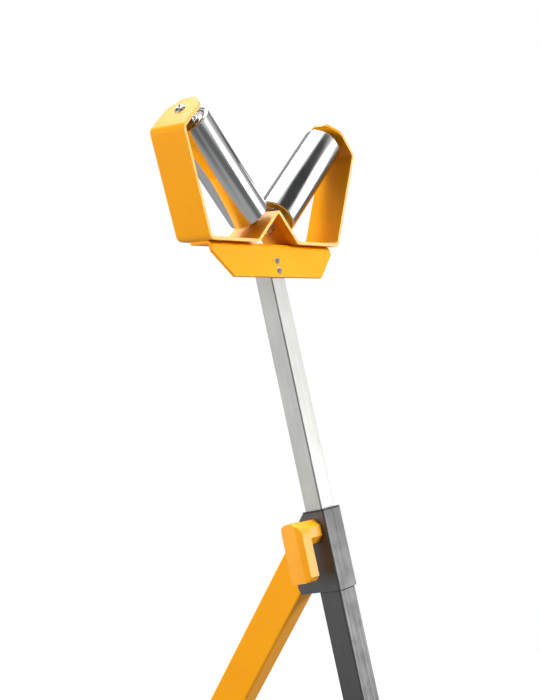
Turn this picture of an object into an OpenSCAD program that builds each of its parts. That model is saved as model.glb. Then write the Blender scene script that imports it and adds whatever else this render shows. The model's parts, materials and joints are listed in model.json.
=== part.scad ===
// Height-adjustable V-roller stand: two rollers in a bent strap cradle on a square mast,
// a leaning main leg with a screw clamp, and a folding rear leg.
// X runs along the cradle, Y from the main leg's foot to the rear leg's foot, and Z up.

/* [Stance] */
// Height of the cradle's underside above the ground, with the mast raised
head_h = 900; // [800:5:980]
// Lean of the mast and the main leg from the vertical, in degrees
mast_lean = 14; // [8:0.5:20]
// Lean of the rear leg from the vertical, in degrees
rear_lean = 32; // [26:0.5:38]

/* [Cradle] */
// Width of the cradle's strap, along Y
strap_w = 52; // [40:1:70]
// Thickness of the cradle's strap
strap_t = 4; // [3:0.5:5]
// Half of the cradle's base, to the middle of the strap
base_half = 116.5; // [100:0.5:130]
// Half of the cradle's width at its upper bends, to the middle of the strap
top_half = 154; // [140:0.5:170]
// Height of the upper bends above the cradle's underside
arm_h = 119; // [105:1:140]
// Length of an end flange, from its bend
flange_l = 52; // [46:1:60]
// Cut across each corner of a flange
flange_cut = 16; // [8:0.5:18]
// Rounding of those cuts
flange_r = 14; // [2:0.5:16]
// Half width of the hump in the middle of the base
hump_half = 36.4; // [33:0.1:42]
// Inner radius of the strap's bends
bend_r = 5; // [3:0.5:8]
// Inner radius of the bend at the top of the hump
apex_r = 2; // [1:0.5:4]

/* [Rollers] */
// Tilt of the roller axles from the vertical, in degrees
axle_tilt = 45; // [42:0.5:48]
// Height above the cradle's underside where the two axle lines cross
axle_cross_h = 9.2; // [6:0.2:12]
// Outer diameter of a roller
roller_d = 50; // [40:1:54]
// Length of a roller
roller_l = 137; // [110:1:145]
// Wall of a roller's tube
roller_wall = 2; // [1.5:0.1:3]
// Edge radius of a roller's tube
roller_edge_r = 1.2; // [0.4:0.1:1.4]
// Diameter of an axle bolt
axle_d = 8; // [6:0.5:9]
// Outer diameter of a ball bearing
bearing_d = 22; // [19:0.5:26]
// Width of a ball bearing
bearing_w = 7; // [5:0.5:9]
// Depth of a roller's end cap
cap_l = 13; // [10:0.5:18]
// Depth by which an end cap sits below the end of its tube
cap_inset = 0.5; // [0.3:0.1:3]
// Outer diameter of an axle spacer
spacer_d = 12; // [11:0.5:14]

/* [Saddle] */
// Half length of the saddle under the cradle
saddle_half = 109.5; // [90:0.5:115]
// Height of the saddle's front plate, measured along the mast
saddle_h = 44.8; // [38:0.2:55]
// Cut across the lower corners of the front plate
saddle_cut = 29.5; // [20:0.5:32]
// Thickness of the saddle's plate
saddle_t = 4; // [3:0.5:5]
// Inner radius of the saddle's bend
saddle_bend_r = 3; // [1:0.5:6]
// Reach of the saddle's upper flange behind the mast's centre
saddle_back = 14; // [13.5:0.5:26]
// Distance of the upper saddle bolt below the cradle's underside, along the mast
saddle_bolt_down = 25; // [20:0.5:28]
// Distance between the two saddle bolts
saddle_bolt_gap = 11.8; // [11:0.1:14]
// Diameter of a saddle bolt
saddle_bolt_d = 5; // [4:0.5:6]

/* [Mast] */
// Outer width of the mast's square tube
mast_w = 25; // [22:0.5:26]
// Wall of the mast's tube
mast_wall = 1.5; // [1:0.1:2]
// Outer corner radius of the mast's tube
mast_r = 2; // [1.6:0.1:3]
// Distance from the cradle's underside to the top of the collar, with the mast raised
collar_down = 322; // [300:1:340]
// Length of the guide at the foot of the mast
glide_l = 40; // [30:1:60]
// Thickness of that guide's end plate
glide_end_t = 3; // [2:0.5:5]

/* [Main leg] */
// Outer width of the main leg's square tube
leg_w = 30; // [29:0.5:34]
// Wall of the main leg's tube
leg_wall = 1.5; // [1:0.1:1.8]
// Outer corner radius of the main leg's tube
leg_r = 2; // [1.9:0.1:3]
// Length of the bush that guides the mast
bush_l = 66; // [50:1:80]
// Thickness of the bush's top flange
bush_top_t = 2; // [1.5:0.1:4]

/* [Collar] */
// Length of the collar along the leg, with the bush's flange
collar_l = 94; // [88:1:120]
// Thickness of the collar's sheet
collar_t = 2; // [1.5:0.1:3]
// Reach of a collar cheek behind the mast's centre, at the top
cheek_top = 21; // [18:0.5:24]
// Reach of a collar cheek behind the mast's centre, at the foot
cheek_foot = 44; // [40:0.5:50]
// Cut across a cheek's upper corner
cheek_cut_top = 7; // [3:0.5:9]
// Cut across a cheek's lower corner
cheek_cut_foot = 9; // [4:0.5:12]

/* [Clamp] */
// Distance of the clamp screw below the collar's top
clamp_down = 23; // [20:0.5:26]
// Distance of the clamp screw behind the mast's centre
clamp_back = 3.5; // [0:0.5:5]
// Diameter of the clamp screw
screw_d = 10; // [8:0.5:11]
// Diameter of the pressure pad
pad_d = 13; // [11:0.5:14]
// Thickness of the pressure pad
pad_t = 1.9; // [1.5:0.1:2]
// Diameter of the nut welded to the collar
boss_d = 17; // [15:0.5:18]
// Height of that nut
boss_l = 9; // [6:0.5:12]
// Width across the flats of the lever's hub
hub_w = 27; // [25:0.5:30]
// Reach of the lever out from the collar
lever_out = 43; // [38:0.5:50]
// Thickness of the lever's grip, along the screw
grip_t = 19.5; // [16:0.5:22]
// Width of the lever's grip
grip_w = 30; // [27:0.5:34]
// Length of the grip below the screw's centre
grip_l = 53; // [45:0.5:60]
// Chamfer along the grip's outer edges
grip_cut = 5; // [3:0.5:6]

/* [Rear leg] */
// Depth of the rear leg's tube, across its length
rear_w = 45; // [40:0.5:50]
// Width of the rear leg's tube, along X
rear_x = 28; // [24:0.5:28]
// Wall of the rear leg's tube
rear_wall = 1.8; // [1.2:0.1:2.4]
// Outer corner radius of the rear leg's tube
rear_r = 3; // [2.5:0.1:4]
// Thickness of the plate that closes the rear leg's foot
rear_end_t = 2; // [1.5:0.1:4]
// Distance of the leg's pivot below the collar's top
pivot_down = 63; // [58:0.5:68]
// Distance of the leg's pivot behind the mast's centre
pivot_back = 28.5; // [28.5:0.5:31]
// Distance of the pivot from the edge of the rear leg that faces the main leg
pivot_edge = 11; // [10.6:0.1:12]
// Diameter of the pivot bolt
pivot_d = 8; // [6:0.5:9]
// Outer diameter of the bush around the pivot bolt
pivot_bush_d = 12; // [11:0.5:14]
// Outer diameter of the washers beside the rear leg
pivot_washer_d = 20; // [16:0.5:21]

/* [Feet] */
// Length of each crossbar
bar_l = 430; // [360:5:520]
// Outer width of a crossbar's square tube
bar_w = 30; // [26:0.5:32]
// Wall of a crossbar's tube
bar_wall = 1.5; // [1:0.1:2.5]
// Outer corner radius of a crossbar's tube
bar_r = 2; // [1.6:0.1:3]
// Length of a rubber foot, along the crossbar
foot_l = 50; // [40:1:70]
// Width of a rubber foot on the ground
foot_w = 56; // [54:1:64]
// Wall of a rubber foot around the crossbar
foot_wall = 4; // [3:0.5:4.5]
// Rubber below the crossbar's lowest edge
foot_under = 6; // [4:0.5:10]

/* [Hidden] */
// Gap between the mast and its bush, and between the mast's guide and the main leg
slide_gap = 0.1;
// Gap between a fixed piece and the tube or plate that it sits in
fit_gap = 0.05;
// Radial gap of a shaft that turns in its bore
turn_gap = 0.05;
// Gap between faces that turn past each other
face_gap = 0.3;
// Gap at a stop
stop_gap = 0.3;
// Overrun of a cut past the face that it opens
over = 1;
// Segments in each bend of a strap
bend_steps = 8;
// Facets of a full circle
$fn = 64;

// Domed heads with a hexagon socket, as shares of the thread's diameter, and the socket's
// depth as a share of the head's height
dome_width_share = 1.75;
dome_height_share = 0.5;
socket_flats_share = 0.6;
socket_depth_share = 0.6;

// Hexagon heads and nuts, as shares of the thread's diameter
hex_flats_share = 1.625;
head_height_share = 0.66;
nut_height_share = 1;
washer_width_share = 2;
washer_thickness_share = 0.2;
thread_past_nut_share = 0.25;

// Cradle: distances along an axle line, from the point where the two lines cross
wall_at = hump_half * sin(axle_tilt) + (strap_t / 2 - axle_cross_h) * cos(axle_tilt);
flange_at = top_half * sin(axle_tilt) + (arm_h - axle_cross_h) * cos(axle_tilt);
inner_at = wall_at + strap_t / 2;
outer_at = flange_at - strap_t / 2;
roller_at = (inner_at + outer_at - roller_l) / 2;
axle_washer_t = washer_thickness_share * axle_d;
axle_nut_t = nut_height_share * axle_d;
bearing_at = roller_at + cap_inset;

// Mast frame: Z up along the mast, Y out of its back, from the middle of the cradle's underside
saddle_face = mast_w / 2;
saddle_mid = saddle_face + saddle_t / 2;
saddle_bend_down = (saddle_t / 2 + saddle_mid * sin(mast_lean)) / cos(mast_lean);
collar_half = leg_w / 2 + fit_gap + collar_t;
housing_top = collar_down + bush_top_t;
housing_foot = collar_down + collar_l;
bush_foot = housing_top + bush_l;
mast_foot = bush_foot + stop_gap + glide_l;
clamp_at = collar_down + clamp_down;
pivot_at = collar_down + pivot_down;
pad_face = mast_w / 2 + slide_gap;
pad_back = pad_face + pad_t;

// Rear leg: the middle of its tube, behind the pivot
rear_mid = rear_w / 2 - pivot_edge;
rear_round_r = rear_w - pivot_edge;

// Crossbars: height of their centres, with the leg's lean
function bar_reach(lean) = bar_w / 2 * (cos(lean) + sin(lean));
front_bar_z = foot_under + bar_reach(mast_lean);
rear_bar_z = foot_under + bar_reach(rear_lean);
main_leg_foot = (head_h - front_bar_z) / cos(mast_lean) - bar_w / 2;

// Places along Y, first from the cradle's centre and then from the part's own origin
pivot_y = pivot_back * cos(mast_lean) - pivot_at * sin(mast_lean);
pivot_z = head_h - pivot_at * cos(mast_lean) - pivot_back * sin(mast_lean);
rear_mid_y = pivot_y + rear_mid * cos(rear_lean);
rear_mid_z = pivot_z + rear_mid * sin(rear_lean);
rear_leg_l = (rear_mid_z - rear_bar_z) / cos(rear_lean);
front_bar_y = -(head_h - front_bar_z) * tan(mast_lean);
rear_bar_y = rear_mid_y + rear_leg_l * sin(rear_lean);
head_y = -(front_bar_y + rear_bar_y) / 2;

// Bolts that go through the mast and the saddle, and through the collar
saddle_nut_t = nut_height_share * saddle_bolt_d;
saddle_bolt_l = saddle_t + mast_w + saddle_nut_t + thread_past_nut_share * saddle_bolt_d;
pivot_head_t = head_height_share * pivot_d;
pivot_nut_t = nut_height_share * pivot_d;
pivot_room = (leg_w - rear_x) / 2 + fit_gap;
pivot_washer_t = pivot_room - 2 * fit_gap;

// Directions and bends in a plane
function left_of(v) = [-v[1], v[0]];
function unit(v) = v / norm(v);
function turned(v, a) = [v[0] * cos(a) - v[1] * sin(a), v[0] * sin(a) + v[1] * cos(a)];
function turn_between(a, b) = atan2(a[0] * b[1] - a[1] * b[0], a * b);

// Arc at one corner of a bent strip: side is how far left of the strip's middle the line runs,
// and r is the radius of the strip's middle
function corner(before, at, after, r, side) =
    let (
        d1 = unit(at - before),
        d2 = unit(after - at),
        turn = turn_between(d1, d2),
        way = sign(turn),
        centre = at - d1 * r * tan(abs(turn) / 2) + left_of(d1) * way * r,
        arm = left_of(d1) * (side - way * r)
    )
    [for (k = [0 : bend_steps]) centre + turned(arm, turn * k / bend_steps)];

// Line along a bent strip, side to the left of its middle
function bent_line(path, radii, side) =
    let (last = len(path) - 1)
    concat(
        [path[0] + left_of(unit(path[1] - path[0])) * side],
        [for (i = [1 : last - 1]) each corner(path[i - 1], path[i], path[i + 1], radii[i - 1], side)],
        [path[last] + left_of(unit(path[last] - path[last - 1])) * side]
    );

function reversed(list) = [for (i = [len(list) - 1 : -1 : 0]) list[i]];

// Section of a bent strip of thickness t
module bent_strip(path, radii, t) {
    polygon(concat(bent_line(path, radii, t / 2), reversed(bent_line(path, radii, -t / 2))));
}

// Rectangle with round corners, about its centre
module round_rect(w, d, r) {
    square([w - 2 * r, d], center = true);
    square([w, d - 2 * r], center = true);
    for (x = [-1, 1], y = [-1, 1])
        translate([x * (w / 2 - r), y * (d / 2 - r)])
            circle(r);
}

// Rectangular tube along Z, from z = 0 up
module box_tube(w, d, wall, r, l) {
    linear_extrude(l)
        difference() {
            round_rect(w, d, r);
            round_rect(w - 2 * wall, d - 2 * wall, r - wall);
        }
}

// Ring along Z, from z = 0 up
module ring(d, bore, l) {
    difference() {
        cylinder(d = d, h = l);
        translate([0, 0, -over])
            cylinder(d = bore, h = l + 2 * over);
    }
}

// Hexagon along Z, from z = 0 up
module hexagon(flats, l) {
    cylinder(d = flats / cos(30), h = l, $fn = 6);
}

// Bolt with its head above z = 0 and its shank of length l below
module hex_bolt(d, l, head_t) {
    hexagon(hex_flats_share * d, head_t);
    translate([0, 0, -l])
        cylinder(d = d, h = l + head_t / 2);
}

// Screw with a domed head above z = 0 and its shank of length l below
module dome_screw(d, l) {
    head_r = dome_width_share * d / 2;
    head_t = dome_height_share * d;
    dome_r = (head_r ^ 2 + head_t ^ 2) / (2 * head_t);
    floor_at = head_t * (1 - socket_depth_share);
    difference() {
        intersection() {
            translate([0, 0, head_t - dome_r])
                sphere(dome_r);
            cylinder(r = 2 * head_r, h = 2 * head_t);
        }
        translate([0, 0, floor_at])
            hexagon(socket_flats_share * d, head_t);
    }
    translate([0, 0, -l])
        cylinder(d = d, h = l + floor_at / 2);
}

module hex_nut(d, t) {
    difference() {
        hexagon(hex_flats_share * d, t);
        translate([0, 0, -over])
            cylinder(d = d, h = t + 2 * over);
    }
}

// Frame of the cradle: the middle of its underside, level
module cradle_frame() {
    translate([0, head_y, head_h])
        children();
}

// Frame of the mast and the main leg
module mast_frame() {
    cradle_frame()
        rotate([-mast_lean, 0, 0])
            children();
}

// Frame of the rear leg: its pivot, with Z up along the leg and Y out of its back
module rear_frame() {
    translate([0, head_y + pivot_y, pivot_z])
        rotate([rear_lean, 0, 0])
            children();
}

// Frame of the clamp screw: Z points along +X into the mast, from the mast's centre
module clamp_frame() {
    mast_frame()
        translate([0, clamp_back, -clamp_at])
            rotate([0, 90, 0])
                children();
}

// Frame of the leg's pivot: Z points along +X, from the middle of the leg
module pivot_frame() {
    mast_frame()
        translate([0, pivot_back, -pivot_at])
            rotate([0, 90, 0])
                children();
}

// Frame of the left axle, from the point where the axle lines cross, Z out through the flange
module left_axle_frame() {
    cradle_frame()
        translate([0, 0, axle_cross_h])
            rotate([0, -axle_tilt, 0])
                children();
}

// Frame of the right axle, as the left one in a mirror
module right_axle_frame() {
    mirror([1, 0, 0])
        left_axle_frame()
            children();
}

// Outline of the strap: left flange, arm, base, hump, base, arm and right flange
flange_run = [flange_l * cos(axle_tilt), flange_l * sin(axle_tilt)];
hump_top = strap_t / 2 + hump_half * tan(axle_tilt);
cradle_path = [
    [-top_half + flange_run[0], arm_h + flange_run[1]],
    [-top_half, arm_h],
    [-base_half, strap_t / 2],
    [-hump_half, strap_t / 2],
    [0, hump_top],
    [hump_half, strap_t / 2],
    [base_half, strap_t / 2],
    [top_half, arm_h],
    [top_half - flange_run[0], arm_h + flange_run[1]]
];
mid_r = bend_r + strap_t / 2;
cradle_radii = [mid_r, mid_r, mid_r, apex_r + strap_t / 2, mid_r, mid_r, mid_r];

// Waste at one corner of a flange: the corner is at the origin, the flange in +X and +Y
module corner_waste() {
    reach = flange_cut + 2 * flange_r;
    line = concat(
        [[reach, 0]],
        corner([reach, 0], [flange_cut, 0], [0, flange_cut], flange_r, 0),
        corner([flange_cut, 0], [0, flange_cut], [0, reach], flange_r, 0),
        [[0, reach]]
    );
    polygon(concat(line, [[-over, reach], [-over, -over], [reach, -over]]));
}

// Bent strap that carries both rollers
module cradle() {
    color("orange")
        difference() {
            cradle_frame()
                rotate([90, 0, 0])
                    linear_extrude(strap_w, center = true)
                        bent_strip(cradle_path, cradle_radii, strap_t);
            left_flange_cuts();
            mirror([1, 0, 0])
                left_flange_cuts();
        }
}

// Clipped corners and axle holes of the left half
module left_flange_cuts() {
    for (side = [-1, 1])
        cradle_frame()
            translate([-top_half + flange_run[0], side * strap_w / 2, arm_h + flange_run[1]])
                rotate([0, -axle_tilt, 0])
                    rotate([0, 0, side > 0 ? 180 : 90])
                        linear_extrude(strap_t + 2 * over, center = true)
                            corner_waste();
    left_axle_frame()
        translate([0, 0, wall_at - strap_t / 2 - over])
            cylinder(d = axle_d + 2 * turn_gap, h = strap_t + 2 * over);
    left_axle_frame()
        translate([0, 0, flange_at - strap_t / 2 - over])
            cylinder(d = axle_d + 2 * turn_gap, h = strap_t + 2 * over);
}

// Axle bolt: its head is outside the flange and its nut is inside the hump
module axle_bolt() {
    head_at = flange_at + strap_t / 2;
    nut_end = wall_at - strap_t / 2 - axle_washer_t - axle_nut_t;
    translate([0, 0, head_at])
        dome_screw(axle_d, head_at - nut_end + thread_past_nut_share * axle_d);
}

module axle_nut() {
    translate([0, 0, wall_at - strap_t / 2 - axle_washer_t - axle_nut_t])
        hex_nut(axle_d, axle_nut_t);
}

// Washer under the nut
module axle_washer() {
    translate([0, 0, wall_at - strap_t / 2 - axle_washer_t])
        ring(washer_width_share * axle_d, axle_d, axle_washer_t);
}

// Spacers between the strap and the bearing at each end
module axle_spacers() {
    spacer_l = roller_at + cap_inset - inner_at - face_gap;
    for (z = [inner_at, outer_at - spacer_l])
        translate([0, 0, z])
            ring(spacer_d, axle_d, spacer_l);
}

// Steel tube with turned edges
module roller_tube() {
    r = roller_d / 2;
    e = roller_edge_r;
    translate([0, 0, roller_at])
        rotate_extrude()
            difference() {
                union() {
                    translate([0, e])
                        square([r, roller_l - 2 * e]);
                    square([r - e, roller_l]);
                    for (z = [e, roller_l - e])
                        translate([r - e, z])
                            circle(e);
                }
                translate([0, -over])
                    square([r - roller_wall, roller_l + 2 * over]);
            }
}

// Profile of a pressed end cap: a hub around the bearing, a web across the end of the tube
// and a rim inside it
module cap_profile() {
    rim_r = roller_d / 2 - roller_wall;
    hub_r = bearing_d / 2 + roller_wall;
    translate([bearing_d / 2, 0])
        square([hub_r - bearing_d / 2, cap_l]);
    translate([spacer_d / 2 + roller_wall, bearing_w])
        square([hub_r - spacer_d / 2 - roller_wall, roller_wall]);
    translate([hub_r - roller_wall / 2, 0])
        square([rim_r - hub_r + roller_wall / 2, roller_wall]);
    translate([rim_r - roller_wall, 0])
        square([roller_wall, cap_l]);
}

// One cap at each end of the roller
module roller_caps() {
    translate([0, 0, bearing_at])
        rotate_extrude()
            cap_profile();
    translate([0, 0, 2 * roller_at + roller_l - bearing_at])
        mirror([0, 0, 1])
            rotate_extrude()
                cap_profile();
}

// One ball bearing in each cap, its bore running on the axle
module roller_bearings() {
    for (z = [bearing_at, 2 * roller_at + roller_l - bearing_at - bearing_w])
        translate([0, 0, z])
            ring(bearing_d, axle_d + 2 * turn_gap, bearing_w);
}

// Section of the saddle, across the mast: front plate along the mast, level flange above it
saddle_path = [
    [-saddle_h * sin(mast_lean) - saddle_mid * cos(mast_lean),
        saddle_mid * sin(mast_lean) - saddle_h * cos(mast_lean)],
    [-saddle_bend_down * sin(mast_lean) - saddle_mid * cos(mast_lean), -saddle_t / 2],
    [saddle_back, -saddle_t / 2]
];

// Bent plate between the cradle and the mast
module saddle_plate() {
    color("orange")
        difference() {
            cradle_frame()
                rotate([90, 0, 90])
                    linear_extrude(2 * saddle_half, center = true)
                        bent_strip(saddle_path, [saddle_bend_r + saddle_t / 2], saddle_t);
            for (side = [-1, 1])
                mast_frame()
                    translate([side * saddle_half, -saddle_mid, -saddle_h])
                        rotate([0, 45, 0])
                            cube([saddle_cut * sqrt(2), saddle_t + 2 * over,
                                saddle_cut * sqrt(2)], center = true);
            saddle_bolt_places()
                cylinder(d = saddle_bolt_d, h = 2 * mast_w, center = true);
        }
}

// Frames of the saddle bolts: Z points out of the plate's front, from its face
module saddle_bolt_places() {
    for (down = [saddle_bolt_down, saddle_bolt_down + saddle_bolt_gap])
        mast_frame()
            translate([0, -saddle_face - saddle_t, -down])
                rotate([90, 0, 0])
                    children();
}

module saddle_bolts() {
    color("gainsboro")
        saddle_bolt_places()
            dome_screw(saddle_bolt_d, saddle_bolt_l);
}

module saddle_nuts() {
    color("gainsboro")
        saddle_bolt_places()
            translate([0, 0, -saddle_t - mast_w - saddle_nut_t])
                hex_nut(saddle_bolt_d, saddle_nut_t);
}

// Square tube that slides in the main leg, its head cut level under the saddle
module mast() {
    color("lightgray")
        difference() {
            mast_frame()
                translate([0, 0, -mast_foot])
                    box_tube(mast_w, mast_w, mast_wall, mast_r, mast_foot);
            cradle_frame()
                translate([-mast_w, -mast_w, -saddle_t])
                    cube([2 * mast_w, 2 * mast_w, 2 * mast_w]);
            mast_frame()
                rotate([90, 0, 90])
                    linear_extrude(2 * mast_w, center = true)
                        mast_head_waste();
            saddle_bolt_places()
                cylinder(d = saddle_bolt_d, h = 4 * mast_w, center = true);
        }
}

// Front edge of the mast's head, cut back to clear the saddle's bend
module mast_head_waste() {
    edge_z = -(saddle_t + saddle_face * sin(mast_lean)) / cos(mast_lean);
    reach = saddle_bend_r * tan((90 - mast_lean) / 2) + fit_gap;
    back = reach * cos(mast_lean) - saddle_face;
    polygon([
        [-saddle_face - over, edge_z - reach],
        [-saddle_face, edge_z - reach],
        [back, edge_z + reach * sin(mast_lean)],
        [back, edge_z + reach + over],
        [-saddle_face - over, edge_z + reach + over]
    ]);
}

// Plastic guide around and inside the foot of the mast
module mast_glide() {
    glide_w = leg_w - 2 * leg_wall - 2 * slide_gap;
    plug_w = mast_w - 2 * mast_wall;
    color("dimgray")
        mast_frame()
            translate([0, 0, -mast_foot - glide_end_t]) {
                box_tube(glide_w, glide_w, (glide_w - mast_w) / 2, mast_r, glide_l + glide_end_t);
                linear_extrude(glide_end_t)
                    square(mast_w, center = true);
                linear_extrude(glide_l)
                    round_rect(plug_w, plug_w, mast_r - mast_wall);
            }
}

// Square tube of the main leg, from the collar to the front crossbar
module main_leg() {
    color("dimgray")
        difference() {
            mast_frame()
                translate([0, 0, -main_leg_foot])
                    box_tube(leg_w, leg_w, leg_wall, leg_r, main_leg_foot - housing_top);
            clamp_hole(pad_d + 2 * face_gap);
        }
}

// Hole for the clamp on its own side of the mast
module clamp_hole(d) {
    clamp_frame()
        translate([0, 0, -2 * leg_w])
            cylinder(d = d, h = 2 * leg_w);
}

// Plastic bush in the top of the main leg, its flange over the collar
module mast_bush() {
    bush_w = leg_w - 2 * leg_wall - 2 * fit_gap;
    bore_w = mast_w + 2 * slide_gap;
    flange_d = collar_half + cheek_top - cheek_cut_top;
    color("dimgray")
        difference() {
            union() {
                mast_frame()
                    translate([0, 0, -bush_foot])
                        linear_extrude(bush_l)
                            round_rect(bush_w, bush_w, leg_r - leg_wall);
                mast_frame()
                    translate([0, flange_d / 2 - collar_half, -housing_top])
                        linear_extrude(bush_top_t)
                            round_rect(2 * collar_half, flange_d, collar_t);
            }
            mast_frame()
                translate([0, 0, -bush_foot - over])
                    linear_extrude(bush_l + bush_top_t + 2 * over)
                        round_rect(bore_w, bore_w, mast_r);
            clamp_hole(pad_d + 2 * face_gap);
        }
}

// Outline of a cheek, from the side: behind the mast's centre and up along it
cheek_outline = [
    [-collar_half, -housing_top],
    [cheek_top - cheek_cut_top, -housing_top],
    [cheek_top, -housing_top - cheek_cut_top],
    [cheek_foot, -housing_foot + cheek_cut_foot],
    [cheek_foot - cheek_cut_foot / 3, -housing_foot],
    [-collar_half, -housing_foot]
];

// Folded steel collar: a front web and two cheeks that hold the rear leg's pivot
module collar_housing() {
    inner_w = leg_w + 2 * fit_gap;
    color("dimgray")
        difference() {
            mast_frame()
                intersection() {
                    rotate([90, 0, 90])
                        linear_extrude(2 * collar_half, center = true)
                            polygon(cheek_outline);
                    translate([0, cheek_foot - collar_half, -housing_foot])
                        linear_extrude(collar_l)
                            round_rect(2 * collar_half, 2 * cheek_foot, collar_t);
                }
            mast_frame()
                translate([-inner_w / 2, -inner_w / 2, -housing_foot - over])
                    cube([inner_w, cheek_foot + inner_w, collar_l + 2 * over]);
            clamp_hole(screw_d + 2 * turn_gap);
            pivot_frame()
                cylinder(d = pivot_d + 2 * turn_gap, h = 4 * collar_half, center = true);
        }
}

// Threaded boss welded to the collar's left cheek
module clamp_nut() {
    color("dimgray")
        clamp_frame()
            translate([0, 0, -collar_half - boss_l])
                ring(boss_d, screw_d + 2 * turn_gap, boss_l);
}

// Disc that the screw presses against the mast
module clamp_pad() {
    color("goldenrod")
        clamp_frame()
            translate([0, 0, -pad_back])
                cylinder(d = pad_d, h = pad_t);
}

// Screw moulded into the lever
module clamp_screw() {
    color("silver")
        clamp_frame()
            translate([0, 0, -collar_half - lever_out + grip_t / 2])
                cylinder(d = screw_d, h = collar_half + lever_out - grip_t / 2 - pad_back);
}

// Section of the grip across its length: outward along the screw, and across
grip_section = [
    [0, -grip_w / 2 + grip_cut],
    [grip_cut, -grip_w / 2],
    [grip_t, -grip_w / 2],
    [grip_t, grip_w / 2],
    [grip_cut, grip_w / 2],
    [0, grip_w / 2 - grip_cut]
];

// Outline of the grip from the side: round above the screw, with cut corners below
module grip_outline() {
    circle(d = grip_w);
    translate([-grip_w / 2, -grip_l + grip_cut])
        square([grip_w, grip_l - grip_cut]);
    translate([-grip_w / 2 + grip_cut, -grip_l])
        square([grip_w - 2 * grip_cut, grip_l]);
    polygon([
        [-grip_w / 2, -grip_l + grip_cut],
        [-grip_w / 2 + grip_cut, -grip_l],
        [grip_w / 2 - grip_cut, -grip_l],
        [grip_w / 2, -grip_l + grip_cut]
    ]);
}

// Moulded lever: an eight-sided hub with a grip across its outer end
module clamp_lever() {
    outer_x = -collar_half - lever_out;
    color("orange")
        difference() {
            union() {
                clamp_frame()
                    translate([0, 0, outer_x + grip_t / 2])
                        rotate([0, 0, 22.5])
                            cylinder(d = hub_w / cos(22.5), h = lever_out - grip_t / 2 - face_gap, $fn = 8);
                mast_frame()
                    translate([0, clamp_back, -clamp_at])
                        intersection() {
                            translate([outer_x, 0, -2 * grip_l])
                                linear_extrude(4 * grip_l)
                                    polygon(grip_section);
                            rotate([90, 0, 90])
                                linear_extrude(4 * lever_out, center = true)
                                    grip_outline();
                        }
            }
            clamp_frame()
                translate([0, 0, outer_x + grip_t / 2])
                    cylinder(d = screw_d, h = lever_out + over);
            clamp_frame()
                translate([0, 0, -collar_half - boss_l - 2 * face_gap])
                    cylinder(d = boss_d + 4 * face_gap, h = boss_l + over);
        }
}

// Bolt through both cheeks, the washers and the rear leg, its head beside the lever
module pivot_bolt() {
    shank_l = 2 * collar_half + pivot_nut_t + thread_past_nut_share * pivot_d;
    color("silver")
        pivot_frame()
            translate([0, 0, -collar_half])
                rotate([180, 0, 0])
                    hex_bolt(pivot_d, shank_l, pivot_head_t);
}

module pivot_nut() {
    color("silver")
        pivot_frame()
            translate([0, 0, collar_half])
                hex_nut(pivot_d, pivot_nut_t);
}

// Plastic washer on each side of the rear leg
module pivot_washers() {
    color("whitesmoke")
        pivot_frame()
            for (side = [-1, 1])
                translate([0, 0, side * (rear_x + pivot_room) / 2 - pivot_washer_t / 2])
                    ring(pivot_washer_d, pivot_d + 2 * turn_gap, pivot_washer_t);
}

// Spacer tube across the rear leg, running on the pivot bolt
module pivot_bush() {
    color("silver")
        pivot_frame()
            translate([0, 0, -rear_x / 2])
                ring(pivot_bush_d, pivot_d + 2 * turn_gap, rear_x);
}

// Rectangular tube of the rear leg, closed at its foot, with a rounded head that bears on the
// main leg when open
module rear_leg() {
    tube_l = rear_leg_l - bar_w / 2;
    color("orange")
        difference() {
            rear_frame()
                translate([0, rear_mid, -tube_l]) {
                    box_tube(rear_x, rear_w, rear_wall, rear_r, tube_l + rear_round_r);
                    linear_extrude(rear_end_t)
                        round_rect(rear_x, rear_w, rear_r);
                }
            rear_frame()
                translate([-rear_x, -rear_w, 0])
                    difference() {
                        cube([2 * rear_x, 3 * rear_w, 2 * rear_w]);
                        translate([0, rear_w, 0])
                            rotate([0, 90, 0])
                                cylinder(r = rear_round_r, h = 2 * rear_x);
                    }
            mast_frame()
                translate([-rear_x, leg_w / 2 + stop_gap - rear_w, -pivot_at - rear_w])
                    cube([2 * rear_x, rear_w, 2 * rear_w]);
            pivot_frame()
                cylinder(d = pivot_bush_d, h = 2 * rear_x, center = true);
        }
}

// Square tube across the foot of a leg
module crossbar() {
    rotate([0, 90, 0])
        translate([0, 0, -bar_l / 2])
            box_tube(bar_w, bar_w, bar_wall, bar_r, bar_l);
}

// Frames of the two crossbars, turned with their legs
module front_bar_frame() {
    translate([0, head_y + front_bar_y, front_bar_z])
        rotate([-mast_lean, 0, 0])
            children();
}

module rear_bar_frame() {
    translate([0, head_y + rear_bar_y, rear_bar_z])
        rotate([rear_lean, 0, 0])
            children();
}

module front_crossbar() {
    color("dimgray")
        front_bar_frame()
            crossbar();
}

module rear_crossbar() {
    color("orange")
        rear_bar_frame()
            crossbar();
}

// Rubber foot over one end of a crossbar at height z: level below, square to the leg above
module foot_block(lean, z) {
    half = bar_w / 2 + foot_wall;
    tips = [for (p = [[half, half], [-half, half]]) turned(p, lean)];
    rotate([90, 0, 90])
        linear_extrude(foot_l)
            polygon(concat([[-foot_w / 2, -z], [foot_w / 2, -z]], tips));
}

// Room for the crossbar inside a foot
module bar_room() {
    rotate([0, 90, 0])
        translate([0, 0, -bar_l / 2])
            linear_extrude(bar_l)
                round_rect(bar_w, bar_w, bar_r);
}

module front_right_foot() {
    color("black")
        difference() {
            translate([bar_l / 2 + foot_wall - foot_l, head_y + front_bar_y, front_bar_z])
                foot_block(-mast_lean, front_bar_z);
            front_bar_frame()
                bar_room();
        }
}

module front_left_foot() {
    mirror([1, 0, 0])
        front_right_foot();
}

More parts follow.
